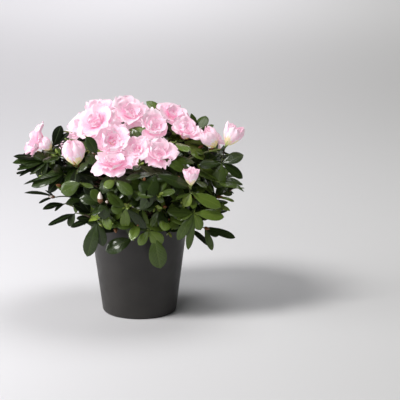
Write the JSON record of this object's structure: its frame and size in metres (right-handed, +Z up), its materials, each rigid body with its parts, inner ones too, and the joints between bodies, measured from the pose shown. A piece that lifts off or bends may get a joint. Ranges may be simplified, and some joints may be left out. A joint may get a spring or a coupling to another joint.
{
  "type": "potted azalea shrub in bloom",
  "caption": "Potted azalea shrub in bloom: tapered pot filled with soil, short leaning trunk, one bough to each mass of leafy twigs, and ruffled pale pink blooms and buds over a wide crown.",
  "frame": {"origin": "centre of the pot's flat underside, on which the plant stands", "axes": "+Z up, +X to the right as seen from the front, and the front looks along -Y"},
  "size_m": [0.3269, 0.292, 0.3048],
  "materials": {
    "pot": "satin dark grey, smooth",
    "soil": "crumbly dark brown potting soil",
    "bark": "fine brown bark, matt",
    "foliage": "glossy dark green leaves with pale pink petals"
  },
  "bodies": {
    "root": {"pot": "pot", "soil": "soil", "trunk": "bark", "skirt_front_left_bough": "bark", "skirt_front_left_foliage": "foliage", "skirt_front_right_bough": "bark", "skirt_front_right_foliage": "foliage", "skirt_right_bough": "bark", "skirt_right_foliage": "foliage", "skirt_back_right_bough": "bark", "skirt_back_right_foliage": "foliage", "skirt_back_bough": "bark", "skirt_back_foliage": "foliage", "skirt_back_left_bough": "bark", "skirt_back_left_foliage": "foliage", "skirt_left_bough": "bark", "skirt_left_foliage": "foliage", "shoulder_left_bough": "bark", "shoulder_left_foliage": "foliage", "shoulder_front_left_bough": "bark", "shoulder_front_left_foliage": "foliage", "shoulder_front_bough": "bark", "shoulder_front_foliage": "foliage", "shoulder_front_right_bough": "bark", "shoulder_front_right_foliage": "foliage", "shoulder_right_bough": "bark", "shoulder_right_foliage": "foliage", "shoulder_back_bough": "bark", "shoulder_back_foliage": "foliage", "shoulder_back_left_bough": "bark", "shoulder_back_left_foliage": "foliage", "upper_front_left_bough": "bark", "upper_front_left_foliage": "foliage", "upper_front_right_bough": "bark", "upper_front_right_foliage": "foliage", "upper_right_bough": "bark", "upper_right_foliage": "foliage", "upper_back_bough": "bark", "upper_back_foliage": "foliage", "upper_left_bough": "bark", "upper_left_foliage": "foliage", "top_bough": "bark", "top_foliage": "foliage"}
  },
  "joints": []
}
